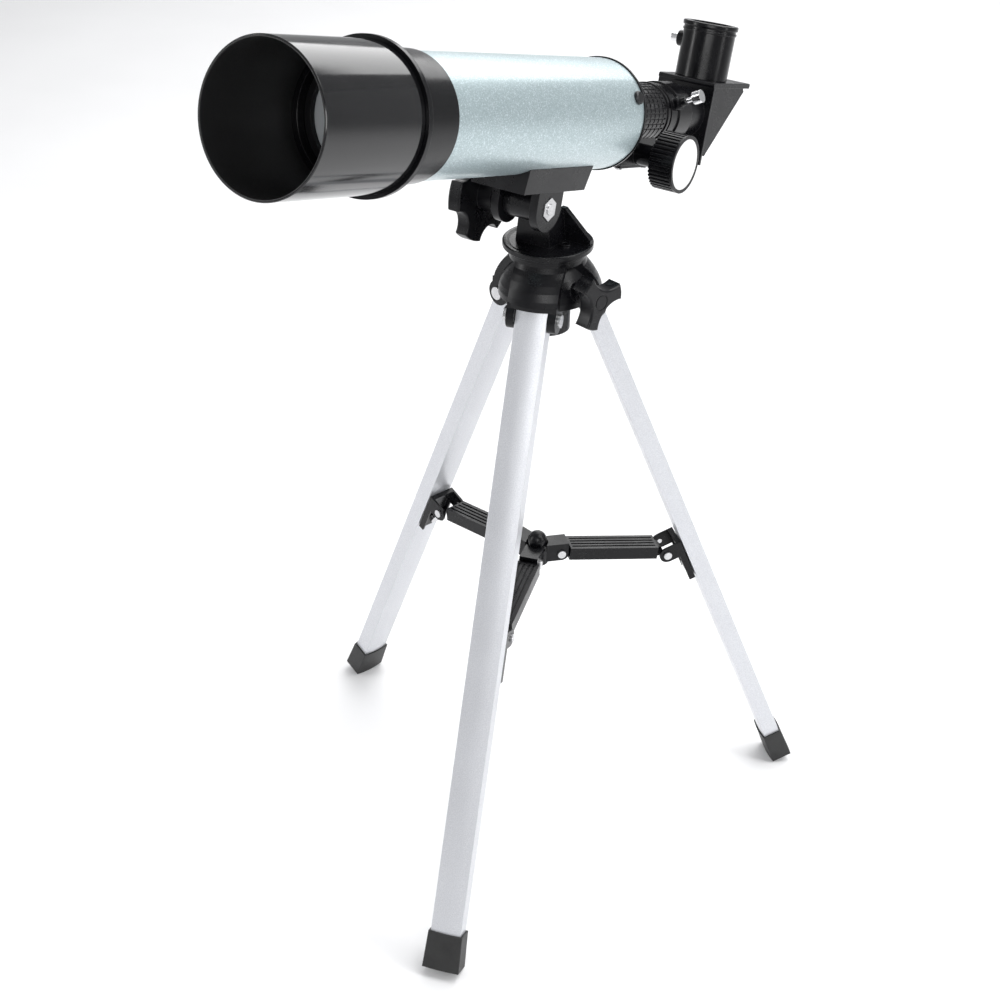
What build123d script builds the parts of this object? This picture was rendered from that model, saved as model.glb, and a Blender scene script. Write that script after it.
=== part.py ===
"""Small refractor telescope on a table-top tripod, as named parts in mm.

The origin is on the ground under the tripod's vertical axis, +Z up, and the tube aims along -Y.
"""

import math
import os

from build123d import *

os.makedirs("parts", exist_ok=True)

# Tripod
SPLAY = 23.2                 # leg angle from the vertical
LEG_REACH = 376.7            # leg pivot to the underside of the foot
LEG_WIDTH = 18.0
LEG_DEPTH = 12.0
LEG_WALL = 1.1
LEG_TOP = 4.5                # leg above its pivot
PIVOT_RADIUS = 23.9          # leg pivot from the vertical axis
FOOT_DEPTH = 14.8
FOOT_WIDTH = 22.0
FOOT_HEIGHT = 22.0
PIVOT_HEIGHT = (
    LEG_REACH * math.cos(math.radians(SPLAY)) + FOOT_DEPTH / 2 * math.sin(math.radians(SPLAY))
)
LEG_TURNS = (-73.8, 46.2, 166.2)
LOCK_TURN = -13.8            # side of the head that carries the azimuth lock
LOCK_HEIGHT = 362.3
HEAD_TOP = 379.0
EAR_INNER = 9.3
EAR_OUTER = 14.0
EAR_RADIUS = 7.4
CORE_RADIUS = 13.9
CORE_BOTTOM = 333.5
HINGE_PIN = 2.5

# Leg spreader
CLIP_TOP = -177.0            # clip's upper edge, along the leg
CLIP_DROP = 182.0            # clip pin below the leg pivot, along the leg
CLIP_OFFSET = 16.6           # clip pin in from the leg's centreline
HUB_RADIUS = 14.0            # brace pin from the vertical axis
HUB_HEIGHT = 182.6
BALL_RADIUS = 5.8
BALL_HEIGHT = 191.0
BRACE_HALF = 7.3             # half width of the brace's channel
BRACE_LOW = -3.35            # channel's underside and top about the pin line
BRACE_HIGH = 4.6
TONGUE_HALF = 3.7
TONGUE_RADIUS = 3.8
BRACE_SHORT = 2.0            # brace end stops short of the clip pin
CHEEK_INNER = 4.0            # hub ears about the tongue
CHEEK_OUTER = 5.6
CLIP_INNER = 7.6             # clip cheeks, wide enough for the whole brace to pass
CLIP_OUTER = 8.9

# Turntable
DISC_RADIUS = 25.0
DISC_TOP = 385.2
SPINDLE = 6.0
SPINDLE_BOTTOM = 333.2
ALT_X = -4.0                 # altitude bolt's middle, and the tube's middle plane
ALT_Y = -17.0
ALT_Z = 410.5
BARREL_RADIUS = 8.2
BARREL_HALF = 9.4
ALT_BOLT = 3.0
WING_TURN = 3.0
WING_INNER = 24.9            # wing knob's inner face beyond the tube's middle plane
NUT_INNER = 11.2
NUT_OUTER = 15.0

# Optical tube, measured forward of the altitude bolt
ELEVATION = 15.0
AXIS_RISE = 47.0             # tube axis above the bolt
TUBE_RADIUS = 30.0
TUBE_WALL = 1.0
TUBE_REAR = -58.6
TUBE_FRONT = 150.0
CELL_REAR = 124.7
FLANGE_REAR = 154.0
HOOD_REAR = 157.0
CELL_FRONT = 166.0
HOOD_FRONT = 228.0
HOOD_RADIUS = 34.5
HOOD_WALL = 1.4
FLANGE_RADIUS = 36.5
LENS_RADIUS = 25.4
SADDLE_HALF = 16.25          # at the underside
SADDLE_TOP_HALF = 17.8
LUG_INNER = 9.7
LUG_OUTER = 14.4
LUG_RADIUS = 12.5

# Focuser and diagonal
NECK_REAR = -115.6
NECK_RADIUS = 16.9
DRAW_RADIUS = 15.0
DRAW_CLEARANCE = 0.08
COLLAR_FRONT = -118.0
COLLAR_REAR = -142.7
COLLAR_RADIUS = 18.0
SCREW_STATION = -124.5
SCREW_ANGLE = 27.0
PINION_X = -95.0
PINION_Z = -20.5
PINION_PITCH = 3.5
PINION_TEETH = 14
BLOCK_BOTTOM = -27.0         # underside of the block that houses the pinion
KNOB_RADIUS = 16.3
KNOB_INNER = 27.3
KNOB_OUTER = 42.2
DIAGONAL_FRONT = -164.3
DIAGONAL_SIZE = 48.7
DIAGONAL_TOP = 20.6
DIAGONAL_HALF = 18.1
HOLDER_X = -182.1
HOLDER_TOP = 52.9
HOLDER_SCREW = 41.0
HOLDER_RADIUS = 15.7
HOLDER_BORE = 12.3


def rod_x(start, end, radius):
    """Cylinder along X."""
    middle = Pos((start + end) / 2, 0, 0)
    return middle * Rot(0, 90, 0) * Cylinder(radius, abs(end - start))


def rod_y(start, end, radius):
    """Cylinder along Y."""
    middle = Pos(0, (start + end) / 2, 0)
    return middle * Rot(90, 0, 0) * Cylinder(radius, abs(end - start))


def rod_z(start, end, radius):
    """Cylinder along Z."""
    return Pos(0, 0, (start + end) / 2) * Cylinder(radius, abs(end - start))


def hexagon_y(start, end, radius):
    """Hexagonal bar along Y with a corner upwards."""
    bar = extrude(Plane.XZ * RegularPolygon(radius, 6), amount=end - start)
    return Pos(0, end, 0) * Rot(0, 30, 0) * bar


def pipe_x(start, end, outer, inner):
    """Ring along X."""
    return rod_x(start, end, outer) - rod_x(start - 1, end + 1, inner)


def pipe_z(start, end, outer, inner):
    """Ring along Z."""
    return rod_z(start, end, outer) - rod_z(start - 1, end + 1, inner)


def block(x_range, y_range, z_range):
    """Box given by its limits on the three axes."""
    size = [high - low for low, high in (x_range, y_range, z_range)]
    middle = [(high + low) / 2 for low, high in (x_range, y_range, z_range)]
    return Pos(*middle) * Box(*size)


def side_plate(points, start, end):
    """Polygon of (x, z) points, extruded along Y."""
    outline = [(x, 0, z) for x, z in points]
    face = make_face(Polyline(*outline, close=True))
    solid = extrude(face, amount=end - start, dir=(0, 1, 0))
    return Pos(0, start, 0) * solid


def end_plate(points, start, end):
    """Polygon of (y, z) points, extruded along X."""
    outline = [(0, y, z) for y, z in points]
    face = make_face(Polyline(*outline, close=True))
    return Pos(start, 0, 0) * extrude(face, amount=end - start, dir=(1, 0, 0))


def turned_z(points):
    """Solid turned about Z from (radius, z) points."""
    outline = [(radius, 0, z) for radius, z in points]
    return revolve(make_face(Polyline(*outline, close=True)), axis=Axis.Z)


def turned_x(points):
    """Solid turned about X from (x, radius) points."""
    outline = [(x, 0, radius) for x, radius in points]
    return revolve(make_face(Polyline(*outline, close=True)), axis=Axis.X)


def around(shape, turns):
    """Copies of a shape turned about Z."""
    return [Rot(0, 0, turn) * shape for turn in turns]


def save(name, shape):
    """Write one node; a list becomes one group of separate solids."""
    if isinstance(shape, (list, tuple)):
        shape = Compound(children=[solid for item in shape for solid in item.solids()])
    export_step(shape, f"parts/{name}.step")


TUBE_PLACE = (
    Pos(ALT_X, ALT_Y, ALT_Z) * Rot(0, 0, -90) * Rot(0, -ELEVATION, 0) * Pos(0, 0, AXIS_RISE)
)


def save_on_tube(name, shape):
    """Place a shape made about the tube's axis, then write it."""
    if isinstance(shape, (list, tuple)):
        save(name, [TUBE_PLACE * item for item in shape])
    else:
        save(name, TUBE_PLACE * shape)


# ---------------------------------------------------------------- tripod head

def lobed_disc(lobes, radius, cut_radius, cut_distance, thickness):
    """Lobed knob outline extruded along Z from zero, with a lobe on +X."""
    disc = rod_z(0, thickness, radius)
    for index in range(lobes):
        cut = Rot(0, 0, (index + 0.5) * 360 / lobes) * Pos(cut_distance, 0, thickness / 2)
        disc -= cut * Cylinder(cut_radius, thickness + 2)
    return disc


def head_dome(inset, bottom):
    """Solid dome that the head's panels are cut from, inset from their outer face."""
    profile = [(31.2, 357.5), (30.3, 361.0), (28.5, 365.0), (26.3, 368.7), (24.0, 371.7),
               (21.8, 374.2), (21.0, 377.0), (21.0, HEAD_TOP - 1)]
    ring = [(radius - inset, height) for radius, height in profile]
    return turned_z([(0, bottom), (31.2 - inset, bottom)] + ring + [(0, HEAD_TOP - 1)])


def leg_housing():
    """One leg's housing and ears, in the leg's direction along X."""
    panel = block((0, 40), (-EAR_OUTER, EAR_OUTER), (355.3, HEAD_TOP)) & head_dome(0, 355.0)
    ear = Pos(PIVOT_RADIUS, 0, PIVOT_HEIGHT) * rod_y(EAR_INNER, EAR_OUTER, EAR_RADIUS)
    ear += block((15.6, 28.8), (EAR_INNER, EAR_OUTER), (PIVOT_HEIGHT, 358))
    return panel + ear + mirror(ear, about=Plane.XZ)


def tripod_head():
    """Spider with three leg housings, the spindle bore and the lock boss."""
    body = head_dome(4.6, 354.2) - rod_z(325, 357.5, 16.5)
    body = body + rod_z(CORE_BOTTOM, 360, CORE_RADIUS) + rod_z(HEAD_TOP - 3, HEAD_TOP, 21.0)
    for housing in around(leg_housing(), LEG_TURNS):
        body += housing
    cavity = block((15.4, 28.7), (-EAR_INNER, EAR_INNER), (330, 357.5))
    cavity += block((15.4, 40), (-EAR_INNER, EAR_INNER), (330, 355.3))
    pin_hole = Pos(PIVOT_RADIUS, 0, PIVOT_HEIGHT) * rod_y(-20, 20, HINGE_PIN)
    for cut in around(cavity + pin_hole, LEG_TURNS):
        body -= cut
    body += Rot(0, 0, LOCK_TURN) * Pos(0, 0, LOCK_HEIGHT) * rod_x(12, 28.5, 5.5)
    body -= rod_z(325, 390, SPINDLE + 0.08)
    body -= Rot(0, 0, LOCK_TURN) * Pos(0, 0, LOCK_HEIGHT) * rod_x(2, 35, 2.58)
    return body


def lock_knob():
    """Three-lobed knob on the azimuth lock screw."""
    knob = lobed_disc(3, 16.0, 14.5, 21.4, 9.0)
    knob = fillet(knob.edges().group_by(Axis.Z)[-1], 1.2)
    knob += rod_z(-0.8, 0.5, 5.0)
    knob -= pipe_z(8.6, 10, 4.6, 3.8)
    return Rot(0, 0, 8) * (knob - rod_z(-3, 6, HINGE_PIN))


def save_head():
    """Tripod head, its leg pins and the azimuth lock."""
    save("tripod_head", tripod_head())
    pin = rod_y(-EAR_OUTER, EAR_OUTER, HINGE_PIN) + rod_y(EAR_OUTER, EAR_OUTER + 1.8, 3.7)
    nut = extrude(Plane.XZ * RegularPolygon(4.4, 6), amount=2.4) - rod_y(-5, 5, HINGE_PIN)
    place = Pos(PIVOT_RADIUS, 0, PIVOT_HEIGHT)
    pins = around(place * pin, LEG_TURNS)
    nuts = around(place * Pos(0, -EAR_OUTER, 0) * nut, LEG_TURNS)
    save("leg_pivot_pins", pins)
    save("leg_pivot_nuts", nuts)
    lock = Rot(0, 0, LOCK_TURN) * Pos(0, 0, LOCK_HEIGHT)
    save("azimuth_lock_knob", lock * Pos(33.4, 0, 0) * Rot(0, 90, 0) * Rot(0, 0, 90) * lock_knob())
    save("azimuth_lock_screw", lock * rod_x(SPINDLE + 0.15, 39, HINGE_PIN))


# ---------------------------------------------------------------- legs

def leg_outline(width, depth, crown):
    """Leg section: flat sides and gently curved wide faces."""
    half_w = width / 2
    edge = depth / 2 - crown
    face = make_face([
        Line((-edge, -half_w), (edge, -half_w)),
        ThreePointArc((edge, -half_w), (depth / 2, 0), (edge, half_w)),
        Line((edge, half_w), (-edge, half_w)),
        ThreePointArc((-edge, half_w), (-depth / 2, 0), (-edge, -half_w)),
    ])
    return face


def leg():
    """Aluminium leg tube hanging along -Z from its pivot."""
    length = LEG_REACH - 2.4 + LEG_TOP
    bottom = Pos(0, 0, -LEG_REACH + 2.4)
    outer = extrude(leg_outline(LEG_WIDTH, LEG_DEPTH, 0.9), amount=length)
    inner_size = (LEG_WIDTH - 2 * LEG_WALL, LEG_DEPTH - 2 * LEG_WALL)
    inner = Pos(0, 0, -1) * extrude(leg_outline(*inner_size, 0.9), amount=length + 2)
    return bottom * (outer - inner) - rod_y(-20, 20, HINGE_PIN + 0.08)


def foot():
    """Rubber cap on the end of a leg, square to the leg."""
    low = leg_outline(FOOT_WIDTH, FOOT_DEPTH, 0.9)
    high = Pos(0, 0, FOOT_HEIGHT) * leg_outline(FOOT_WIDTH - 1.6, FOOT_DEPTH - 0.9, 0.9)
    cap = loft([low, high])
    pocket = extrude(leg_outline(LEG_WIDTH + 0.1, LEG_DEPTH + 0.1, 0.9), amount=FOOT_HEIGHT)
    return Pos(0, 0, -LEG_REACH) * (cap - Pos(0, 0, 2.4) * pocket)


def clip():
    """Plastic clip on the leg's inner face that carries a brace."""
    face = -LEG_DEPTH / 2 - 0.1
    plate = block((face - 2.1, face), (-CLIP_OUTER, CLIP_OUTER), (-206.5, CLIP_TOP))
    plate -= block((face - 3, face - 0.7), (-CLIP_INNER, CLIP_INNER), (-197.0, CLIP_TOP - 2))
    plate -= Pos(0, 0, -200.8) * rod_x(-12, 0, 1.6)
    cheek = block((-CLIP_OFFSET, face), (CLIP_INNER, CLIP_OUTER), (-187.0, CLIP_TOP))
    cheek += block((-10.0, face), (CLIP_INNER, CLIP_OUTER), (-206.5, -186.0))
    cheek += Pos(-CLIP_OFFSET, 0, -CLIP_DROP) * rod_y(CLIP_INNER, CLIP_OUTER, 4.9)
    cheek -= Pos(-CLIP_OFFSET, 0, -CLIP_DROP) * rod_y(CLIP_INNER - 1, CLIP_OUTER + 1, 1.6)
    web = block((-9.2, face - 1), (-CLIP_INNER, CLIP_INNER), (CLIP_TOP - 1.8, CLIP_TOP))
    return plate + cheek + mirror(cheek, about=Plane.XZ) + web


def clip_fixings():
    """Clip screw with its nut inside the leg, and the two pin stubs."""
    wall = -LEG_DEPTH / 2
    screw = rod_x(wall - 2.2, wall + 4.0, 1.5) + rod_x(wall - 3.9, wall - 2.2, 3.0)
    nut = rod_x(wall + 1.6, wall + 3.4, 3.0) - rod_x(-20, 20, 1.52)
    screw = Pos(0, 0, -200.8) * screw
    nut = Pos(0, 0, -200.8) * nut
    stub = rod_y(CLIP_INNER + 0.02, CLIP_OUTER, 1.55) + rod_y(CLIP_OUTER, CLIP_OUTER + 1.1, 2.5)
    stub = Pos(-CLIP_OFFSET, 0, -CLIP_DROP) * stub
    return [screw, nut, stub, mirror(stub, about=Plane.XZ)]


def save_legs():
    """Three legs with their feet and clips."""
    tube = leg() - Pos(0, 0, -200.8) * rod_x(-8, 0, 1.6)
    shoe = foot()
    holder = clip()
    fixings = clip_fixings()
    for index, turn in enumerate(LEG_TURNS, start=1):
        place = Rot(0, 0, turn) * Pos(PIVOT_RADIUS, 0, PIVOT_HEIGHT) * Rot(0, -SPLAY, 0)
        save(f"leg_{index}", place * tube)
        save(f"foot_{index}", place * shoe)
        save(f"leg_clip_{index}", place * holder)
        save(f"clip_fixings_{index}", [place * item for item in fixings])


# ---------------------------------------------------------------- spreader

def clip_point():
    """Clip pin's radius and height with the legs spread."""
    swing = math.radians(SPLAY)
    radius = PIVOT_RADIUS + CLIP_DROP * math.sin(swing) - CLIP_OFFSET * math.cos(swing)
    height = PIVOT_HEIGHT - CLIP_DROP * math.cos(swing) - CLIP_OFFSET * math.sin(swing)
    return radius, height


def brace(length):
    """Ribbed channel with a tongue at each end, from the hub pin outwards along X."""
    start = 4.9
    end = length - 6.0
    bar = block((start, end), (-BRACE_HALF, BRACE_HALF), (BRACE_LOW, BRACE_HIGH))
    bar -= block((start + 2, end - 2), (1.8 - BRACE_HALF, BRACE_HALF - 1.8), (-5, 1.6))
    for offset in (-4.4, -1.5, 1.5, 4.4):
        bar -= block((start + 1.5, end - 1.5), (offset - 0.6, offset + 0.6),
                     (BRACE_HIGH - 0.9, BRACE_HIGH + 1))
    bar += rod_y(-TONGUE_HALF, TONGUE_HALF, TONGUE_RADIUS)
    bar += block((0, start + 2), (-TONGUE_HALF, TONGUE_HALF), (BRACE_LOW, TONGUE_RADIUS))
    tip = length - BRACE_SHORT
    nose = [(end - 2, BRACE_LOW), (end - 2, BRACE_HIGH - 0.8), (tip - 1.5, 3.0), (tip, 1.2),
            (tip, -1.2), (tip - 1.5, BRACE_LOW)]
    bar += side_plate(nose, -TONGUE_HALF, TONGUE_HALF)
    return bar - rod_y(-20, 20, 1.78)


def hub():
    """Centre piece with three inverted-U arms."""
    arm = block((4.6, 18.4), (-CHEEK_OUTER, CHEEK_OUTER), (187.5, 189.3))
    ear = block((4.6, 18.4), (CHEEK_INNER, CHEEK_OUTER), (181.0, 189.3))
    ear += Pos(HUB_RADIUS, 0, HUB_HEIGHT) * rod_y(CHEEK_INNER, CHEEK_OUTER, 4.6)
    ear += block((3.0, HUB_RADIUS), (CHEEK_INNER, CHEEK_OUTER), (178.0, 186.0))
    ear -= Pos(HUB_RADIUS, 0, HUB_HEIGHT) * rod_y(CHEEK_INNER - 1, CHEEK_OUTER + 1, 1.7)
    arm = arm + ear + mirror(ear, about=Plane.XZ)
    body = rod_z(176.5, 186.0, 7.2)
    for part in around(arm, LEG_TURNS):
        body += part
    body -= rod_z(186.1, 192, 6.6) + Pos(0, 0, BALL_HEIGHT) * Sphere(BALL_RADIUS + 0.15)
    return body - rod_z(170, 190, 2.02)


def save_spreader():
    """Hub, ball knob, pins and braces."""
    save("spreader_hub", hub())
    ball = Pos(0, 0, BALL_HEIGHT) * Sphere(BALL_RADIUS) + rod_z(174.9, 187, 2.0)
    save("spreader_ball_knob", ball)
    head = rod_y(CHEEK_OUTER, CHEEK_OUTER + 1.3, 2.5)
    pin = rod_y(-CHEEK_OUTER, CHEEK_OUTER, 1.7) + head + mirror(head, about=Plane.XZ)
    save("spreader_pins", around(Pos(HUB_RADIUS, 0, HUB_HEIGHT) * pin, LEG_TURNS))
    radius, height = clip_point()
    length = math.hypot(radius - HUB_RADIUS, HUB_HEIGHT - height)
    droop = math.degrees(math.atan2(HUB_HEIGHT - height, radius - HUB_RADIUS))
    bar = Pos(HUB_RADIUS, 0, HUB_HEIGHT) * Rot(0, droop, 0) * brace(length)
    for index, turn in enumerate(LEG_TURNS, start=1):
        save(f"brace_{index}", Rot(0, 0, turn) * bar)


# ---------------------------------------------------------------- turntable

def upright():
    """Post that carries the altitude barrel, made about the row's own axes."""
    fore, up = -ALT_Y, ALT_Z
    side = [(-10.5, 383.5), (9.4, 383.5), (9.4, 398.0), (fore + 1.0, up - 7.9),
            (fore + 2.0, up), (fore - 5.0, up + 6.0), (6.0, up - 1.0), (-10.5, 398.8)]
    solid = end_plate([(-forward, height) for forward, height in side], -20, 20)
    front = [(-11.2, 383.0), (11.2, 383.0), (BARREL_HALF, 400.0), (BARREL_HALF, 420.0),
             (-BARREL_HALF, 420.0), (-BARREL_HALF, 400.0)]
    solid &= side_plate([(x + ALT_X, z) for x, z in front], -40, 40)
    barrel = Pos(ALT_X, ALT_Y, ALT_Z) * rod_x(-BARREL_HALF, BARREL_HALF, BARREL_RADIUS)
    return solid + barrel


def turntable():
    """Azimuth disc, spindle, upright and gussets as one moulding."""
    disc = rod_z(381.8, DISC_TOP, DISC_RADIUS)
    disc = fillet(disc.edges(), 0.7)
    disc += rod_z(HEAD_TOP + 0.2, 382.5, 21.8) + rod_z(SPINDLE_BOTTOM, 382, SPINDLE)
    disc -= turned_z([(0, DISC_TOP - 0.6), (21.0, DISC_TOP - 0.6), (23.0, DISC_TOP + 0.01),
                      (23.0, DISC_TOP + 1), (0, DISC_TOP + 1)])
    near = side_plate([(3.0, 384), (22.8, 384), (22.8, 387.6), (6.0, 402.4), (3.0, 402.4)],
                      6.5, 9.5)
    far = side_plate([(-11.0, 384), (-21.6, 384), (-21.6, 385.4), (-14.0, 400.0),
                      (-11.0, 400.0)], 5, 8)
    boss = Pos(11.5, -1.0, 0) * pipe_z(384, 386.0, 3.0, 1.6)
    body = disc + upright() + near + far + boss
    body -= Pos(ALT_X, ALT_Y, ALT_Z) * rod_x(-20, 20, ALT_BOLT + 0.1)
    return body - rod_z(SPINDLE_BOTTOM - 1, SPINDLE_BOTTOM + 18, 1.7)


def wing_knob():
    """Large five-lobed knob on the altitude bolt, made along Z."""
    knob = lobed_disc(5, 26.6, 9.5, 29.5, 7.6)
    knob = fillet(knob.edges().group_by(Axis.Z)[-1], 1.2)
    knob = fillet(knob.edges().group_by(Axis.Z)[0], 0.9)
    knob += rod_z(-10.2, 1, 8.6) + rod_z(-8.2, 1, 9.8)
    return knob - rod_z(-12, 6, ALT_BOLT)


def save_turntable():
    """Turntable, its keeper screw and the altitude clamp."""
    save("turntable", turntable())
    keeper = rod_z(-1.2, 0, 8.4) + rod_z(-4.0, -1.2, 3.2) + rod_z(-2, 15, 1.65)
    save("turntable_keeper_screw", Pos(0, 0, SPINDLE_BOTTOM) * keeper)
    place = Pos(ALT_X, ALT_Y, ALT_Z)
    swing = place * Rot(0, 0, -90) * Rot(0, -ELEVATION, 0)
    knob = Pos(0, -WING_INNER, 0) * Rot(90, 0, 0) * Rot(0, 0, -WING_TURN) * wing_knob()
    save("altitude_wing_knob", swing * knob)
    save("altitude_bolt", swing * rod_y(-WING_INNER - 5.6, NUT_OUTER + 0.6, ALT_BOLT))
    nut = hexagon_y(NUT_INNER, NUT_OUTER, 6.4) - rod_y(0, 30, ALT_BOLT + 0.03)
    save("altitude_nut", swing * nut)


# ---------------------------------------------------------------- optical tube

def saddle():
    """Block under the tube with the two lugs that clasp the altitude barrel."""
    drop = -AXIS_RISE
    outline = [(31.6, drop + 9.4), (31.6, -20.0), (-34.7, -20.0), (-31.0, drop + 9.4)]
    body = side_plate(outline, -20, 20)
    flank = [(SADDLE_HALF, drop + 9.0), (SADDLE_TOP_HALF, -24.0), (SADDLE_TOP_HALF, -19.0)]
    body &= end_plate(flank + [(-y, z) for y, z in reversed(flank)], -50, 50)
    lug = Pos(0, 0, drop) * rod_y(LUG_INNER, LUG_OUTER, LUG_RADIUS)
    lug += block((-LUG_RADIUS, LUG_RADIUS), (LUG_INNER, LUG_OUTER), (drop, drop + 10))
    body += lug + mirror(lug, about=Plane.XZ)
    body -= rod_x(-60, 60, TUBE_RADIUS + 0.02)
    body -= Pos(0, 0, drop) * rod_y(-30, 30, ALT_BOLT + 0.1)
    body -= Pos(0, 0, drop) * hexagon_y(NUT_INNER - 0.1, LUG_OUTER + 2, 6.65)
    for station in (-22.0, 22.0):
        body -= Pos(station, 0, 0) * (rod_z(-50, -20, 2.1) + rod_z(-50, drop + 12.4, 3.6))
    return body


def saddle_screws():
    """Two screws up through the saddle, each with a nut inside the tube."""
    parts = []
    for station in (-22.0, 22.0):
        shank = rod_z(-AXIS_RISE + 12.4, -24.6, 1.95) + rod_z(-AXIS_RISE + 10.0, -34.6, 3.3)
        nut = rod_z(-28.6, -26.2, 3.6) - rod_z(-40, 0, 1.97)
        parts += [Pos(station, 0, 0) * shank, Pos(station, 0, 0) * nut]
    return parts


def screw_turns():
    """Angles of the three screws round the tube's rear end, from the near side up."""
    return (27, 147, 267)


def main_tube():
    """Painted tube with holes for the saddle and focuser screws."""
    body = pipe_x(TUBE_REAR, TUBE_FRONT, TUBE_RADIUS, TUBE_RADIUS - TUBE_WALL)
    for station in (-22.0, 22.0):
        body -= Pos(station, 0, 0) * rod_z(-40, -20, 2.0)
    for turn in screw_turns():
        body -= Rot(turn, 0, 0) * Pos(TUBE_REAR + 5.5, 0, 0) * rod_y(20, 40, 1.6)
    return body


def objective_cell():
    """Cell on the front of the tube that seats the lens and carries the hood."""
    return turned_x([
        (CELL_REAR, TUBE_RADIUS + 0.05), (CELL_REAR, 31.0), (FLANGE_REAR, 31.6),
        (FLANGE_REAR, FLANGE_RADIUS), (HOOD_REAR, FLANGE_RADIUS), (HOOD_REAR, 33.0),
        (CELL_FRONT, 33.0), (CELL_FRONT, 30.0), (163.6, 28.0), (160.6, 28.0),
        (160.6, LENS_RADIUS + 0.1), (152.0, LENS_RADIUS + 0.1), (152.0, 24.6), (150.2, 24.6),
        (150.2, TUBE_RADIUS + 0.05),
    ])


def lens_elements():
    """Crown and flint elements of the 50 mm objective."""
    curve = 220.0
    sag = curve - math.sqrt(curve**2 - LENS_RADIUS**2)
    crown = rod_x(155.4 - sag, 160.4, LENS_RADIUS)
    crown &= Pos(160.4 - curve, 0, 0) * Sphere(curve)
    crown &= Pos(155.4 - sag + curve, 0, 0) * Sphere(curve)
    flint = rod_x(152.0, 154.8, LENS_RADIUS) - Pos(154.8 - sag + curve, 0, 0) * Sphere(curve)
    return crown, flint


def save_front():
    """Hood, cell, lens and main tube."""
    hood = turned_x([
        (HOOD_REAR, 33.05), (HOOD_REAR, HOOD_RADIUS - 0.3), (HOOD_REAR + 0.3, HOOD_RADIUS),
        (HOOD_FRONT - 0.4, HOOD_RADIUS), (HOOD_FRONT, HOOD_RADIUS - 0.4),
        (HOOD_FRONT, HOOD_RADIUS - HOOD_WALL + 0.2),
        (HOOD_FRONT - 0.4, HOOD_RADIUS - HOOD_WALL), (HOOD_REAR + 12, 33.05),
    ])
    save_on_tube("dew_hood", hood)
    save_on_tube("objective_cell", objective_cell())
    save_on_tube("lens_retaining_ring", pipe_x(160.6, 163.0, 27.95, 24.6))
    crown, flint = lens_elements()
    save_on_tube("lens_crown", crown)
    save_on_tube("lens_flint", flint)
    save_on_tube("lens_spacer", pipe_x(154.8, 155.3, LENS_RADIUS, 24.8))
    save_on_tube("main_tube", main_tube())
    save_on_tube("tube_baffle", pipe_x(60, 61.2, 28.98, 19.0) + pipe_x(60, 68, 28.98, 28.2))
    save_on_tube("saddle", saddle())
    save_on_tube("saddle_screws", saddle_screws())


# ---------------------------------------------------------------- focuser

def focuser_housing():
    """End piece in the tube with the neck and the pinion block."""
    body = pipe_x(-60.1, TUBE_REAR, 30.7, DRAW_RADIUS) + pipe_x(TUBE_REAR - 1, -46, 28.95, 25.0)
    body += rod_x(-66, -60, 21.0) + rod_x(NECK_REAR, -60, NECK_RADIUS)
    for station in range(-108, -68, 5):
        body -= pipe_x(station, station + 1.1, 18, NECK_RADIUS - 0.6)
    for turn in range(-20, 201, 10):
        groove = block((-111, -67), (-0.5, 0.5), (NECK_RADIUS - 0.5, 18))
        body -= Rot(turn - 90, 0, 0) * groove
    body += pipe_x(NECK_REAR, NECK_REAR + 2.2, NECK_RADIUS + 0.6, NECK_RADIUS - 1)
    body += block((-114, -60), (-12, 12), (BLOCK_BOTTOM, -12))
    body += Pos(PINION_X, 0, PINION_Z) * rod_y(-26, 26, 6.0)
    body -= rod_x(-130, -40, DRAW_RADIUS + DRAW_CLEARANCE)
    body -= block((-130, -40), (-3.4, 3.4), (-18.1, -10))
    body -= block((PINION_X - 7, PINION_X + 7), (-3.4, 3.4), (-29.5, -14))
    body -= Pos(PINION_X, 0, PINION_Z) * rod_y(-30, 30, HINGE_PIN + 0.07)
    for turn in screw_turns():
        body -= Rot(turn, 0, 0) * Pos(TUBE_REAR + 5.5, 0, 0) * rod_y(20, 40, 1.52)
    for x, y in cover_screw_spots():
        body -= Pos(x, y, 0) * rod_z(-30, BLOCK_BOTTOM + 4, 1.02)
    return body


def cover_screw_spots():
    """Four corners of the pinion cover."""
    return [(x, y) for x in (-110.0, -80.0) for y in (-9.0, 9.0)]


def tube_screws():
    """Button-head screws round the tube's rear end."""
    screw = rod_y(26, TUBE_RADIUS + 0.1, 1.5)
    head = rod_y(TUBE_RADIUS + 0.1, TUBE_RADIUS + 2.2, 3.7)
    head = fillet(head.edges().group_by(Axis.Y)[-1], 1.4)
    place = Pos(TUBE_REAR + 5.5, 0, 0)
    return [Rot(turn, 0, 0) * place * (screw + head) for turn in screw_turns()]


def draw_tube():
    """Sliding tube with the rear collar that clamps the diagonal."""
    body = rod_x(COLLAR_FRONT, -25, DRAW_RADIUS)
    body += rod_x(COLLAR_REAR, COLLAR_FRONT, COLLAR_RADIUS - 0.8)
    body += rod_x(COLLAR_REAR, COLLAR_FRONT - 9, COLLAR_RADIUS)
    body += Rot(SCREW_ANGLE, 0, 0) * Pos(SCREW_STATION, 0, 0) * rod_y(14, 20, 4.0)
    body += Rot(SCREW_ANGLE, 0, 0) * Pos(SCREW_STATION, 0, 0) * rod_y(14, 24.0, 2.6)
    body -= block((-117.9, -20), (-3.2, 3.2), (-20, -14.2))
    body -= rod_x(-150, -117, HOLDER_BORE + 0.05) + rod_x(-117.5, -20, 13.4)
    body -= Rot(SCREW_ANGLE, 0, 0) * Pos(SCREW_STATION, 0, 0) * rod_y(10, 25, 1.56)
    return body


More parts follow.
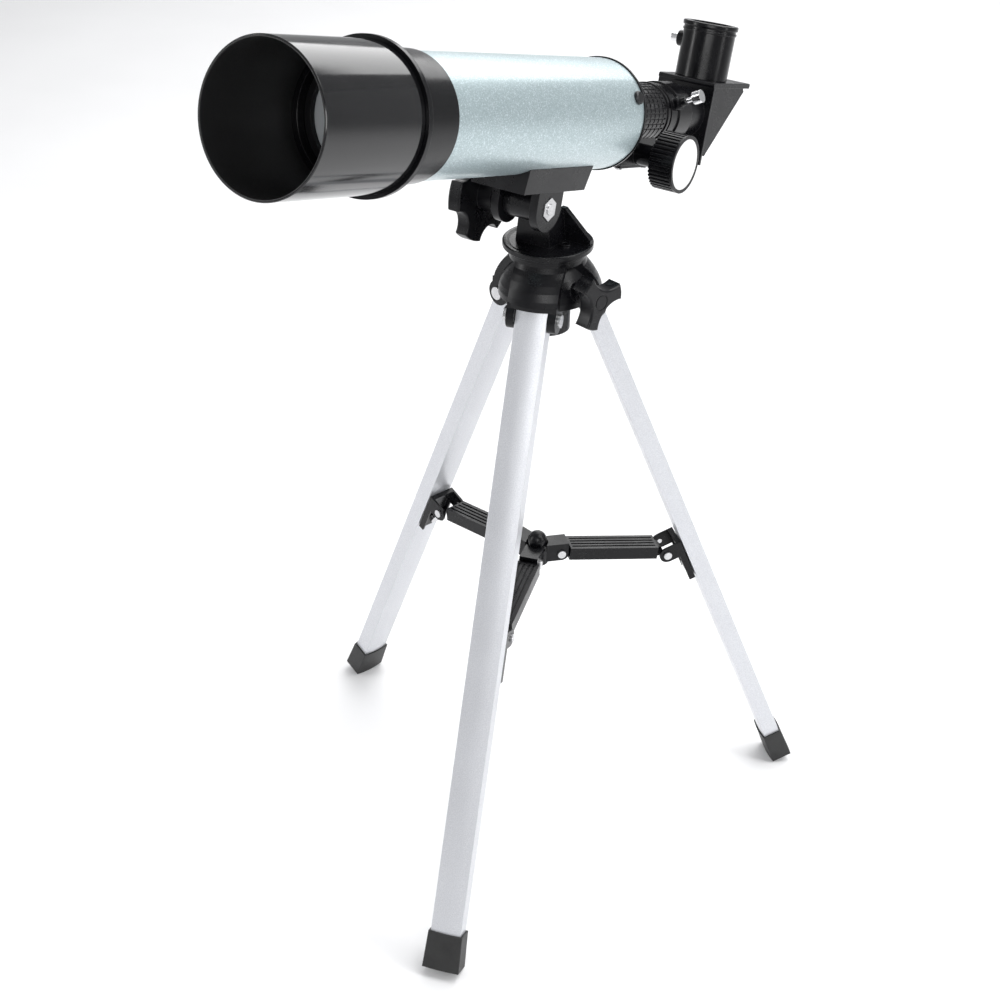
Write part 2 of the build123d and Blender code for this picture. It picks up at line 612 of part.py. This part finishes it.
def rack():
    """Toothed strip under the draw tube; a gap faces the pinion at rest."""
    pitch = 2 * math.pi * PINION_PITCH / PINION_TEETH
    line = PINION_Z + PINION_PITCH
    points = [(-112.0, -14.2), (-112.0, line + 0.55)]
    count = 32
    start = PINION_X - 10.5 * pitch
    for index in range(count):
        middle = start + index * pitch
        points += [(middle - 0.24 * pitch, line + 0.55), (middle - 0.13 * pitch, line - 0.42),
                   (middle + 0.13 * pitch, line - 0.42), (middle + 0.24 * pitch, line + 0.55)]
    points += [(-58.0, line + 0.55), (-58.0, -14.2)]
    return side_plate(points, -3.0, 3.0)


def pinion_shaft():
    """Focus shaft with the pinion in the middle."""
    points = []
    for index in range(PINION_TEETH):
        middle = 90 + index * 360 / PINION_TEETH
        for radius, offset in ((2.95, -7.0), (3.9, -3.2), (3.9, 3.2), (2.95, 7.0)):
            angle = math.radians(middle + offset)
            points.append((radius * math.cos(angle), radius * math.sin(angle)))
    body = side_plate(points, -2.8, 2.8) + rod_y(-38.5, 38.5, HINGE_PIN)
    return Pos(PINION_X, 0, PINION_Z) * body


def focus_knob():
    """Ribbed knob at the near end of the shaft, recessed for its cap."""
    knob = rod_y(KNOB_INNER, KNOB_OUTER, KNOB_RADIUS)
    for step in range(40):
        groove = block((-0.65, 0.65), (KNOB_INNER - 1, KNOB_OUTER - 1.2), (15.4, 17))
        knob -= Rot(0, step * 9, 0) * groove
    knob -= rod_y(KNOB_OUTER - 1.0, KNOB_OUTER + 1, 14.4)
    knob -= rod_y(KNOB_INNER - 1, 38.6, HINGE_PIN + 0.02)
    return Pos(PINION_X, 0, PINION_Z) * knob


def save_focuser():
    """Housing, draw tube, rack and pinion, and the focus knobs."""
    save_on_tube("focuser_housing", focuser_housing())
    save_on_tube("tube_screws", tube_screws())
    save_on_tube("draw_tube", draw_tube())
    save_on_tube("rack", rack())
    save_on_tube("pinion_shaft", pinion_shaft())
    knob = focus_knob()
    save_on_tube("focus_knob_near", knob)
    save_on_tube("focus_knob_far", mirror(knob, about=Plane.XZ))
    cap = Pos(PINION_X, 0, PINION_Z) * rod_y(KNOB_OUTER - 1.0, KNOB_OUTER - 0.2, 14.3)
    save_on_tube("focus_knob_cap_near", cap)
    save_on_tube("focus_knob_cap_far", mirror(cap, about=Plane.XZ))
    cover = block((-114, -76), (-12, 12), (BLOCK_BOTTOM - 1.6, BLOCK_BOTTOM))
    screws = []
    for x, y in cover_screw_spots():
        cover -= Pos(x, y, 0) * rod_z(-32, -26, 1.1)
        screw = rod_z(-1.6, 3.5, 1.0) + rod_z(-2.7, -1.6, 2.0)
        screws.append(Pos(x, y, BLOCK_BOTTOM) * screw)
    save_on_tube("pinion_cover", cover)
    save_on_tube("pinion_cover_screws", screws)


# ---------------------------------------------------------------- diagonal

def wedge(inset, slope_inset, half):
    """Triangular prism of the diagonal, inset from its faces."""
    front = DIAGONAL_FRONT - inset
    top = DIAGONAL_TOP - inset
    size = DIAGONAL_SIZE - 2 * inset - slope_inset * math.sqrt(2)
    return side_plate([(front, top), (front - size, top), (front, top - size)], -half, half)


def diagonal_body():
    """Right-angle body with its nose and top plate."""
    body = wedge(0, 2.2, DIAGONAL_HALF)
    plate = block((DIAGONAL_FRONT - 49.5, DIAGONAL_FRONT + 1.2), (-18.7, 18.7),
                  (DIAGONAL_TOP - 3.0, DIAGONAL_TOP))
    plate = fillet(plate.edges().filter_by(Axis.Y), 1.3)
    body += plate
    body += block((DIAGONAL_FRONT - 1.4, DIAGONAL_FRONT + 0.4), (-18.7, 18.7),
                  (DIAGONAL_TOP - DIAGONAL_SIZE, DIAGONAL_TOP - 1))
    body += rod_x(DIAGONAL_FRONT - 1, COLLAR_REAR - 0.4, 15.5)
    body += rod_x(DIAGONAL_FRONT, SCREW_STATION + 4, HOLDER_BORE - 0.02)
    body -= wedge(2.0, 2.2, DIAGONAL_HALF - 2.0)
    body -= rod_x(DIAGONAL_FRONT - 4, SCREW_STATION + 6, 10.9)
    return body - Pos(HOLDER_X, 0, 0) * rod_z(0, 30, HOLDER_BORE)


def slope_plate(near, far, half_width, half_length):
    """Flat plate parallel to the diagonal's sloping face, by depth inside that face."""
    middle_x = DIAGONAL_FRONT - DIAGONAL_SIZE / 2
    middle_z = DIAGONAL_TOP - DIAGONAL_SIZE / 2
    plate = block((-half_length, half_length), (-half_width, half_width), (near, far))
    return Pos(middle_x, 0, middle_z) * Rot(0, 45, 0) * plate


def eyepiece_holder():
    """Upright socket for the eyepiece with its ridged mouth and screw boss."""
    body = rod_z(DIAGONAL_TOP, HOLDER_TOP - 0.4, HOLDER_RADIUS)
    body += rod_z(HOLDER_TOP - 5.5, HOLDER_TOP - 4.3, HOLDER_RADIUS + 0.5)
    rim = fillet(rod_z(HOLDER_TOP - 2.9, HOLDER_TOP, HOLDER_RADIUS + 0.9).edges(), 0.8)
    body += rim + Pos(0, 0, HOLDER_SCREW) * rod_y(-18.8, -13.5, 4.7)
    body -= rod_z(10, 60, HOLDER_BORE)
    body -= Pos(0, 0, HOLDER_SCREW) * rod_y(-25, -5, 1.56)
    return Pos(HOLDER_X, 0, 0) * body


def save_diagonal():
    """Diagonal, mirror, eyepiece holder and both clamp screws."""
    save_on_tube("diagonal_body", diagonal_body())
    save_on_tube("diagonal_cover", slope_plate(0.1, 2.1, DIAGONAL_HALF, 27.2))
    save_on_tube("diagonal_mirror", slope_plate(2.2, 4.2, 15.6, 19.0))
    save_on_tube("eyepiece_holder", eyepiece_holder())
    screw = rod_y(-19.6, -13.0, 1.5) + rod_y(-23.6, -19.6, 2.9)
    save_on_tube("eyepiece_clamp_screw", Pos(HOLDER_X, 0, HOLDER_SCREW) * screw)
    screw = rod_y(HOLDER_BORE + 0.3, 30.0, 1.5) + rod_y(29.0, 34.0, 3.7)
    save_on_tube("diagonal_clamp_screw", Rot(SCREW_ANGLE, 0, 0) * Pos(SCREW_STATION, 0, 0) * screw)


save_head()
save_legs()
save_spreader()
save_turntable()
save_front()
save_focuser()
save_diagonal()
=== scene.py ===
import math

import bmesh
import bpy
from mathutils import Matrix, Vector

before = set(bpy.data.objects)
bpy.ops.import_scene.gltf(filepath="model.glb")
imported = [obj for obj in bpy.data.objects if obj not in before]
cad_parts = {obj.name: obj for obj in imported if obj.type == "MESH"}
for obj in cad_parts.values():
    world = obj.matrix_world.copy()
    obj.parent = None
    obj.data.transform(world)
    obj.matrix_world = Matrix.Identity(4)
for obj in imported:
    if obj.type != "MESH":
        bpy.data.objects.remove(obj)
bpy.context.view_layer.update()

MM = 0.001

# Where the tube and the legs lie in the frame, for the textures that run along them.
TUBE_ORIGIN = Vector((-4.0, -17.0, 410.5)) * MM
TUBE_TILT = math.radians(15.0)
AXIS_RISE = 47.0 * MM
LEG_TURNS = (-73.8, 46.2, 166.2)
LEG_SPLAY = math.radians(23.2)
PIVOT_RADIUS = 23.9 * MM
PIVOT_HEIGHT = 349.15 * MM

# Distances from the optical axis between which the hood's flat inside turns to gloss.
HOOD_FLAT_RADIUS = 33.45 * MM
HOOD_GLOSS_RADIUS = 33.75 * MM

# Radius that shading gives the edges of each material.
CRISP_EDGE = 0.25 * MM
HOOD_EDGE = 0.35 * MM
MOULDED_EDGE = 0.35 * MM
CAP_EDGE = 0.4 * MM
ROUNDED_EDGE = 0.45 * MM
LEG_EDGE = 0.6 * MM
RUBBER_EDGE = 1.0 * MM

# Reach of the worn bands along edges, and how far the rounded and the flat normal
# agree at the middle of such a band and past its end.
LEG_SCUFF = 0.5 * MM
RUBBER_SCUFF = 0.8 * MM
WORN_AGREEMENT = 0.86
CLEAN_AGREEMENT = 0.99

# Stage: a round floor that curves up into a backdrop, in metres.
FLOOR_LEVEL = -0.5 * MM
FLOOR_RADIUS = 2.6
CURVE_RADIUS = 1.6
CURVE_STEPS = 8
FLOOR_SIDES = 96
SURROUND_COLOR = (0.97, 0.98, 1.0, 1.0)
SURROUND_STRENGTH = 0.40

# Name, place, target, width and height, and power in watts of each lamp.
LAMPS = (
    ("top_softbox", (0.25, 0.5, 1.45), (0, 0, 0.3), (1.7, 1.0), 22),
    ("back_softbox", (-0.6, 2.0, 1.3), (0, 1.2, 0.0), (2.2, 0.8), 18),
    ("front_softbox", (0.85, -1.3, 0.95), (0, 0, 0.42), (1.0, 0.5), 8),
    ("left_strip", (-1.2, -1.1, 0.75), (0, 0, 0.3), (0.25, 1.3), 8),
    ("right_strip", (1.4, 0.3, 0.9), (0, 0, 0.3), (0.25, 1.3), 6),
)

# Camera: where it looks from, and the point it looks at beside the vertical axis.
VIEW_TURN = math.radians(32.95)
VIEW_LIFT = math.radians(31.46)
VIEW_ROLL = math.radians(1.276)
VIEW_DISTANCE = 1039.2 * MM
AIM_HEIGHT = 218.3 * MM
AIM_SHIFT = 22.96 * MM
SENSOR_WIDTH = 36.0
FOCAL_LENGTH = 63.02


# ------------------------------------------------------------------ materials

class Shader:
    """A node material with a Principled shader and short calls for the nodes it needs."""

    def __init__(self, name):
        self.material = bpy.data.materials.new(name)
        self.material.use_nodes = True
        self.tree = self.material.node_tree
        self.tree.nodes.clear()
        self.output = self.add("ShaderNodeOutputMaterial")
        self.surface = self.add("ShaderNodeBsdfPrincipled")
        self.link(self.surface.outputs["BSDF"], self.output.inputs["Surface"])
        self.coords = self.add("ShaderNodeTexCoord").outputs["Object"]

    def add(self, kind, **settings):
        node = self.tree.nodes.new(kind)
        for key, value in settings.items():
            setattr(node, key, value)
        return node

    def link(self, source, target):
        self.tree.links.new(source, target)

    def set(self, **values):
        """Constant values on the Principled shader's own sockets."""
        for key, value in values.items():
            socket = self.surface.inputs[key.replace("_", " ")]
            socket.default_value = (*value, 1.0) if isinstance(value, tuple) else value

    def moved(self, coords, location=(0, 0, 0), turn=(0, 0, 0), scale=(1, 1, 1)):
        node = self.add("ShaderNodeMapping")
        node.inputs["Location"].default_value = location
        node.inputs["Rotation"].default_value = turn
        node.inputs["Scale"].default_value = scale
        self.link(coords, node.inputs["Vector"])
        return node.outputs["Vector"]

    def tube_coords(self):
        """Coordinates with X along the optical axis, in metres from the bolt."""
        shifted = self.moved(self.coords, location=tuple(-TUBE_ORIGIN))
        turned = self.moved(shifted, turn=(0, 0, math.radians(90)))
        tilted = self.moved(turned, turn=(0, TUBE_TILT, 0))
        return self.moved(tilted, location=(0, 0, -AXIS_RISE))

    def axis_distance(self, coords):
        """Distance from the optical axis of tube coordinates."""
        parts = self.add("ShaderNodeSeparateXYZ")
        self.link(coords, parts.inputs["Vector"])
        across = self.math("POWER", parts.outputs["Y"], 2.0)
        upward = self.math("POWER", parts.outputs["Z"], 2.0)
        return self.math("SQRT", self.math("ADD", across, upward))

    def leg_coords(self, turn):
        """Coordinates with Z up along one leg."""
        turned = self.moved(self.coords, turn=(0, 0, math.radians(-turn)))
        shifted = self.moved(turned, location=(-PIVOT_RADIUS, 0, -PIVOT_HEIGHT))
        return self.moved(shifted, turn=(0, LEG_SPLAY, 0))

    def noise(self, scale, detail, roughness, coords=None):
        node = self.add("ShaderNodeTexNoise")
        node.inputs["Scale"].default_value = scale
        node.inputs["Detail"].default_value = detail
        node.inputs["Roughness"].default_value = roughness
        self.link(coords or self.coords, node.inputs["Vector"])
        return node.outputs["Fac"]

    def cells(self, scale, coords):
        """A random colour for each cell of a fine irregular mosaic."""
        node = self.add("ShaderNodeTexVoronoi")
        node.inputs["Scale"].default_value = scale
        self.link(coords, node.inputs["Vector"])
        return node.outputs["Color"]

    def spread(self, value, low, high, to_low, to_high):
        """The value's range from low to high stretched onto another range."""
        node = self.add("ShaderNodeMapRange")
        for key, number in zip(("From Min", "From Max", "To Min", "To Max"),
                               (low, high, to_low, to_high)):
            node.inputs[key].default_value = number
        self.link(value, node.inputs["Value"])
        return node.outputs["Result"]

    def math(self, operation, first, second=0.0):
        node = self.add("ShaderNodeMath", operation=operation)
        for socket, value in zip(node.inputs, (first, second)):
            if isinstance(value, (int, float)):
                socket.default_value = value
            else:
                self.link(value, socket)
        return node.outputs["Value"]

    def ramp(self, value, *stops):
        node = self.add("ShaderNodeValToRGB")
        elements = node.color_ramp.elements
        while len(elements) < len(stops):
            elements.new(0.5)
        for element, (place, color) in zip(elements, stops):
            element.position = place
            element.color = (*color, 1.0)
        self.link(value, node.inputs["Fac"])
        return node.outputs["Color"]

    def mix(self, factor, first, second):
        node = self.add("ShaderNodeMix", data_type="RGBA")
        for socket, value in zip((node.inputs["Factor"], node.inputs["A"], node.inputs["B"]),
                                 (factor, first, second)):
            if isinstance(value, (int, float)):
                socket.default_value = value
            elif isinstance(value, tuple):
                socket.default_value = (*value, 1.0)
            else:
                self.link(value, socket)
        return node.outputs["Result"]

    def soft_edges(self, radius):
        """Shading normal rounded over sharp moulded edges."""
        node = self.add("ShaderNodeBevel", samples=6)
        node.inputs["Radius"].default_value = radius
        return node.outputs["Normal"]

    def edge_mask(self, radius):
        """1 along worn edges, 0 on open faces."""
        rounded = self.soft_edges(radius)
        flat = self.add("ShaderNodeNewGeometry").outputs["Normal"]
        dot = self.add("ShaderNodeVectorMath", operation="DOT_PRODUCT")
        self.link(rounded, dot.inputs[0])
        self.link(flat, dot.inputs[1])
        return self.spread(dot.outputs["Value"], WORN_AGREEMENT, CLEAN_AGREEMENT, 1.0, 0.0)

    def bump(self, height, distance, strength, normal):
        """The normal tilted by a fine relief of this depth."""
        node = self.add("ShaderNodeBump")
        node.inputs["Distance"].default_value = distance
        node.inputs["Strength"].default_value = strength
        self.link(height, node.inputs["Height"])
        self.link(normal, node.inputs["Normal"])
        return node.outputs["Normal"]

    def finish(self, color, roughness, normal=None, metallic=None):
        """Joins what was worked out to the shader and gives back the material."""
        for key, source in (("Base Color", color), ("Roughness", roughness),
                            ("Normal", normal), ("Metallic", metallic)):
            if source is not None:
                self.link(source, self.surface.inputs[key])
        return self.material


def toned(color, tone):
    """The colour made darker or lighter by one factor."""
    return tuple(channel * tone for channel in color)


def moulded_black(name, rough_low=0.22, rough_high=0.36, grain=0.02 * MM, tone=1.0,
                  edge=MOULDED_EDGE):
    """Semi-gloss injection-moulded plastic with fine grain and rubbed edges."""
    s = Shader(name)
    s.set(IOR=1.49, Specular_IOR_Level=0.26)
    deep = toned((0.0024, 0.0024, 0.0032), tone)
    lifted = toned((0.0048, 0.0048, 0.0060), tone)
    rubbed = (0.030, 0.030, 0.033)
    patch = s.noise(60, 4, 0.6)
    dust = s.noise(900, 2, 0.7)
    base = s.ramp(patch, (0.3, deep), (0.75, lifted))
    worn = s.math("MULTIPLY", s.edge_mask(edge), s.spread(dust, 0.35, 0.7, 0.25, 0.9))
    color = s.mix(worn, base, rubbed)
    rough = s.math("ADD", s.spread(patch, 0.3, 0.7, rough_low, rough_high),
                   s.spread(dust, 0.3, 0.7, -0.03, 0.03))
    fine_grain = s.noise(2600, 2, 0.6)
    coarse_grain = s.spread(s.noise(420, 3, 0.6), 0, 1, 0, 1.4)
    height = s.math("ADD", fine_grain, coarse_grain)
    normal = s.bump(height, grain, 0.5, s.soft_edges(edge))
    return s.finish(color, rough, normal)


def gloss_hood():
    """Hood: polished black outside, flat black sprayed inside."""
    s = Shader("gloss_black_hood")
    s.set(IOR=1.5, Specular_IOR_Level=0.55)
    deep = (0.0035, 0.0035, 0.0042)
    lifted = (0.0075, 0.0075, 0.0085)
    sprayed = (0.0095, 0.0095, 0.0100)
    coords = s.tube_coords()
    inside = s.spread(s.axis_distance(coords), HOOD_FLAT_RADIUS, HOOD_GLOSS_RADIUS, 1.0, 0.0)
    swirl = s.noise(35, 4, 0.6, coords)
    dust = s.noise(1500, 2, 0.7)
    color = s.mix(inside, s.ramp(swirl, (0.3, deep), (0.8, lifted)), sprayed)
    polish = s.math("ADD", s.spread(swirl, 0.3, 0.7, 0.07, 0.12),
                    s.spread(dust, 0.45, 0.75, 0.0, 0.05))
    rough = s.mix(inside, polish, s.spread(dust, 0.3, 0.7, 0.42, 0.55))
    ripple = s.noise(26, 2, 0.4, s.moved(coords, scale=(0.35, 1.0, 1.0)))
    fine = s.math("MULTIPLY", inside, s.noise(3200, 2, 0.7))
    height = s.math("ADD", ripple, s.math("MULTIPLY", fine, 0.12))
    normal = s.bump(height, 0.12 * MM, 0.35, s.soft_edges(HOOD_EDGE))
    return s.finish(color, rough, normal)


def tube_paint():
    """Pale blue-silver metallic lacquer with fine flakes."""
    s = Shader("silver_tube_paint")
    s.set(Coat_Weight=0.35, Coat_Roughness=0.16, IOR=1.5)
    shade = (0.290, 0.370, 0.385)
    body = (0.370, 0.455, 0.475)
    light = (0.520, 0.610, 0.630)
    spark = (0.80, 0.90, 0.93)
    haze = (0.36, 0.46, 0.48)
    coords = s.tube_coords()
    flake = s.cells(2100, coords)
    grains = s.noise(1500, 2, 0.75, coords)
    cloud = s.noise(14, 3, 0.5, coords)
    base = s.ramp(grains, (0.25, shade), (0.5, body), (0.8, light))
    sparkle = s.add("ShaderNodeSeparateColor")
    s.link(flake, sparkle.inputs["Color"])
    glint = s.spread(sparkle.outputs["Red"], 0.72, 0.98, 0.0, 0.55)
    color = s.mix(glint, base, spark)
    color = s.mix(s.spread(cloud, 0.35, 0.65, 0.0, 0.10), color, haze)
    rough = s.math("ADD", s.spread(sparkle.outputs["Green"], 0, 1, 0.30, 0.44),
                   s.spread(cloud, 0.3, 0.7, -0.02, 0.03))
    metal = s.spread(sparkle.outputs["Blue"], 0, 1, 0.45, 0.75)
    height = s.math("ADD", grains, s.math("MULTIPLY", sparkle.outputs["Red"], 0.6))
    normal = s.bump(height, 0.035 * MM, 0.35, s.soft_edges(CRISP_EDGE))
    return s.finish(color, rough, normal, metal)


def leg_metal(index, turn):
    """Satin silver leg: fine speckle with faint drawn lines along the leg."""
    s = Shader(f"leg_aluminium_{index}")
    s.set(Coat_Weight=0.12, Coat_Roughness=0.25)
    shade = (0.54, 0.55, 0.58)
    body = (0.66, 0.67, 0.70)
    light = (0.80, 0.81, 0.83)
    drawn = (0.60, 0.61, 0.62)
    bare = (0.93, 0.93, 0.93)
    coords = s.leg_coords(turn)
    lines = s.noise(900, 3, 0.6, s.moved(coords, scale=(1.0, 1.0, 0.012)))
    speck = s.noise(1700, 2, 0.8, coords)
    smudge = s.noise(22, 4, 0.6, coords)
    color = s.ramp(speck, (0.25, shade), (0.55, body), (0.85, light))
    color = s.mix(s.spread(lines, 0.3, 0.7, 0.0, 0.16), color, drawn)
    scuff = s.math("MULTIPLY", s.edge_mask(LEG_SCUFF), s.spread(smudge, 0.4, 0.7, 0.0, 0.5))
    color = s.mix(scuff, color, bare)
    rough = s.math("ADD", s.spread(lines, 0.3, 0.7, 0.32, 0.42),
                   s.spread(smudge, 0.35, 0.65, -0.03, 0.05))
    metal = s.spread(speck, 0.3, 0.7, 0.45, 0.62)
    height = s.math("ADD", s.math("MULTIPLY", lines, 0.7), s.math("MULTIPLY", speck, 0.5))
    normal = s.bump(height, 0.02 * MM, 0.30, s.soft_edges(LEG_EDGE))
    return s.finish(color, rough, normal, metal)


def foot_rubber():
    """Matte black rubber with a dusty, slightly pitted skin."""
    s = Shader("foot_rubber")
    s.set(IOR=1.5, Specular_IOR_Level=0.45)
    patch = s.noise(80, 4, 0.6)
    pits = s.noise(1300, 3, 0.7)
    deep = (0.010, 0.010, 0.010)
    lifted = (0.022, 0.022, 0.022)
    rubbed = (0.060, 0.060, 0.060)
    worn = s.math("MULTIPLY", s.edge_mask(RUBBER_SCUFF), 0.5)
    color = s.mix(worn, s.ramp(patch, (0.3, deep), (0.75, lifted)), rubbed)
    rough = s.spread(pits, 0.3, 0.7, 0.40, 0.58)
    height = s.math("ADD", pits, patch)
    normal = s.bump(height, 0.06 * MM, 0.4, s.soft_edges(RUBBER_EDGE))
    return s.finish(color, rough, normal)


def bright_metal(name, base, rough_low, rough_high):
    """Plated steel with fine turning marks."""
    s = Shader(name)
    s.set(Metallic=1.0)
    marks = s.noise(1600, 3, 0.65)
    patch = s.noise(160, 3, 0.6)
    color = s.ramp(patch, (0.3, toned(base, 0.82)), (0.7, base))
    rough = s.spread(marks, 0.3, 0.7, rough_low, rough_high)
    normal = s.bump(marks, 0.02 * MM, 0.35, s.soft_edges(CRISP_EDGE))
    return s.finish(color, rough, normal)


def white_cap():
    """White styrene disc let into each focus knob."""
    s = Shader("white_cap")
    s.set(IOR=1.5, Coat_Weight=0.2, Coat_Roughness=0.2)
    patch = s.noise(120, 3, 0.6)
    fine = s.noise(1400, 2, 0.6)
    color = s.ramp(patch, (0.3, (0.80, 0.80, 0.79)), (0.7, (0.88, 0.88, 0.87)))
    rough = s.spread(fine, 0.3, 0.7, 0.26, 0.36)
    normal = s.bump(fine, 0.02 * MM, 0.3, s.soft_edges(CAP_EDGE))
    return s.finish(color, rough, normal)


def lens_glass():
    """Partly clear glass with a faint bluish coating and a little dust; the part that is not
    clear is a near-white diffuse colour, a painted reflection that makes the lens look bright
    inside the hood.
    """
    s = Shader("lens_glass")
    # Painted reflection: only part of the light passes through, so the rest of the lens shows
    # its near-white colour as if it reflected a bright light.
    s.set(IOR=1.52, Transmission_Weight=0.45, Coat_Weight=0.3, Coat_Roughness=0.02)
    dust = s.noise(700, 3, 0.8)
    haze = s.noise(45, 3, 0.5)
    # Near-white colour with a faint bluish haze: this is the painted reflection in the lens.
    color = s.ramp(haze, (0.3, (0.90, 0.95, 0.98)), (0.7, (0.96, 0.98, 0.99)))
    rough = s.spread(dust, 0.55, 0.8, 0.0, 0.06)
    return s.finish(color, rough)


def mirror_glass():
    """First-surface mirror."""
    s = Shader("mirror_glass")
    s.set(Metallic=1.0)
    dust = s.noise(600, 3, 0.8)
    color = s.ramp(dust, (0.4, (0.90, 0.91, 0.92)), (0.8, (0.82, 0.83, 0.84)))
    rough = s.spread(dust, 0.5, 0.8, 0.02, 0.10)
    return s.finish(color, rough)


def paint(material, *names):
    """Gives each named piece this one material."""
    for name in names:
        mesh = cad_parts[name].data
        mesh.materials.clear()
        mesh.materials.append(material)


def numbered(stem):
    """The names of the three pieces that repeat round the tripod."""
    return [f"{stem}_{index}" for index in (1, 2, 3)]


black = moulded_black("black_moulding")
satin = moulded_black("matte_black_ring", rough_low=0.45, rough_high=0.62,
                      grain=0.03 * MM, tone=0.9)
shiny = moulded_black("shiny_black_moulding", rough_low=0.16, rough_high=0.28,
                      grain=0.012 * MM, tone=0.8, edge=ROUNDED_EDGE)
steel = bright_metal("bright_steel", (0.66, 0.66, 0.67), rough_low=0.22, rough_high=0.38)
chrome = bright_metal("bright_screw", (0.82, 0.82, 0.83), rough_low=0.10, rough_high=0.22)
dark_steel = bright_metal("black_screw", (0.05, 0.05, 0.052), rough_low=0.28, rough_high=0.42)

paint(gloss_hood(), "dew_hood")
paint(shiny, "objective_cell", "eyepiece_holder", "draw_tube", "focuser_housing")
paint(tube_paint(), "main_tube")
paint(satin, "lens_retaining_ring", "lens_spacer", "tube_baffle", "rack")
paint(lens_glass(), "lens_crown", "lens_flint")
paint(mirror_glass(), "diagonal_mirror")
paint(black, "saddle", "pinion_cover", "focus_knob_near", "focus_knob_far", "diagonal_body",
      "diagonal_cover", "turntable", "altitude_wing_knob", "tripod_head", "azimuth_lock_knob",
      "spreader_hub", "spreader_ball_knob", *numbered("brace"), *numbered("leg_clip"))
paint(steel, "altitude_nut", "altitude_bolt", "saddle_screws", "pinion_shaft",
      "pinion_cover_screws", "turntable_keeper_screw", "leg_pivot_pins", "leg_pivot_nuts",
      "azimuth_lock_screw", "spreader_pins", *numbered("clip_fixings"))
paint(chrome, "diagonal_clamp_screw", "eyepiece_clamp_screw")
paint(dark_steel, "tube_screws")
paint(white_cap(), "focus_knob_cap_near", "focus_knob_cap_far")
paint(foot_rubber(), *numbered("foot"))
for index, turn in enumerate(LEG_TURNS, start=1):
    paint(leg_metal(index, turn), f"leg_{index}")


# ------------------------------------------------------------------ stage

def pale_floor():
    """Matte off-white of the floor and backdrop."""
    s = Shader("pale_floor")
    grain = s.noise(6, 3, 0.5)
    color = s.ramp(grain, (0.3, (0.86, 0.86, 0.865)), (0.7, (0.88, 0.88, 0.885)))
    return s.finish(color, s.spread(grain, 0.3, 0.7, 0.7, 0.8))


def floor_ring(bm, radius, height):
    """One ring of the floor's vertices."""
    ring = []
    for side in range(FLOOR_SIDES):
        angle = 2 * math.pi * side / FLOOR_SIDES
        ring.append(bm.verts.new((radius * math.cos(angle), radius * math.sin(angle), height)))
    return ring


def stage_floor():
    """Pale floor that curves up into a backdrop all round."""
    mesh = bpy.data.meshes.new("floor")
    bm = bmesh.new()
    centre = bm.verts.new((0, 0, FLOOR_LEVEL))
    previous = None
    for step in range(CURVE_STEPS + 1):
        swing = math.radians(step * 90 / CURVE_STEPS)
        radius = FLOOR_RADIUS + CURVE_RADIUS * math.sin(swing)
        height = FLOOR_LEVEL + CURVE_RADIUS * (1 - math.cos(swing))
        ring = floor_ring(bm, radius, height)
        for side in range(FLOOR_SIDES):
            follow = (side + 1) % FLOOR_SIDES
            if previous is None:
                bm.faces.new((centre, ring[side], ring[follow]))
            else:
                bm.faces.new((previous[side], ring[side], ring[follow], previous[follow]))
        previous = ring
    bm.to_mesh(mesh)
    bm.free()
    for polygon in mesh.polygons:
        polygon.use_smooth = True
    floor = bpy.data.objects.new("floor", mesh)
    bpy.context.scene.collection.objects.link(floor)
    mesh.materials.append(pale_floor())


def area_light(name, location, target, size, power):
    """White rectangular lamp aimed at a point."""
    data = bpy.data.lights.new(name, "AREA")
    data.shape = "RECTANGLE"
    data.size, data.size_y = size
    data.energy = power
    lamp = bpy.data.objects.new(name, data)
    bpy.context.scene.collection.objects.link(lamp)
    lamp.location = location
    aim = Vector(target) - Vector(location)
    lamp.rotation_euler = aim.to_track_quat("-Z", "Y").to_euler()


def studio():
    """Pale surround with soft boxes above, behind and in front, and a strip at each side."""
    world = bpy.data.worlds.new("studio")
    bpy.context.scene.world = world
    world.use_nodes = True
    background = world.node_tree.nodes["Background"]
    background.inputs["Color"].default_value = SURROUND_COLOR
    background.inputs["Strength"].default_value = SURROUND_STRENGTH
    for name, location, target, size, power in LAMPS:
        area_light(name, location, target, size, power)


def camera():
    """Camera at the object's usual three-quarter view from the front right."""
    reach = math.cos(VIEW_LIFT)
    back = Vector((math.sin(VIEW_TURN) * reach, -math.cos(VIEW_TURN) * reach,
                   math.sin(VIEW_LIFT)))
    level = Vector((math.cos(VIEW_TURN), math.sin(VIEW_TURN), 0))
    rise = back.cross(level)
    right = level * math.cos(VIEW_ROLL) + rise * math.sin(VIEW_ROLL)
    upward = back.cross(right)
    aim = Vector((0, 0, AIM_HEIGHT)) - level * AIM_SHIFT
    place = aim + back * VIEW_DISTANCE
    data = bpy.data.cameras.new("camera")
    data.sensor_width = SENSOR_WIDTH
    data.lens = FOCAL_LENGTH
    eye = bpy.data.objects.new("camera", data)
    bpy.context.scene.collection.objects.link(eye)
    turned = Matrix((right, upward, back)).transposed().to_4x4()
    eye.matrix_world = Matrix.Translation(place) @ turned
    bpy.context.scene.camera = eye


stage_floor()
studio()
camera()
bpy.context.scene.view_settings.view_transform = "Standard"
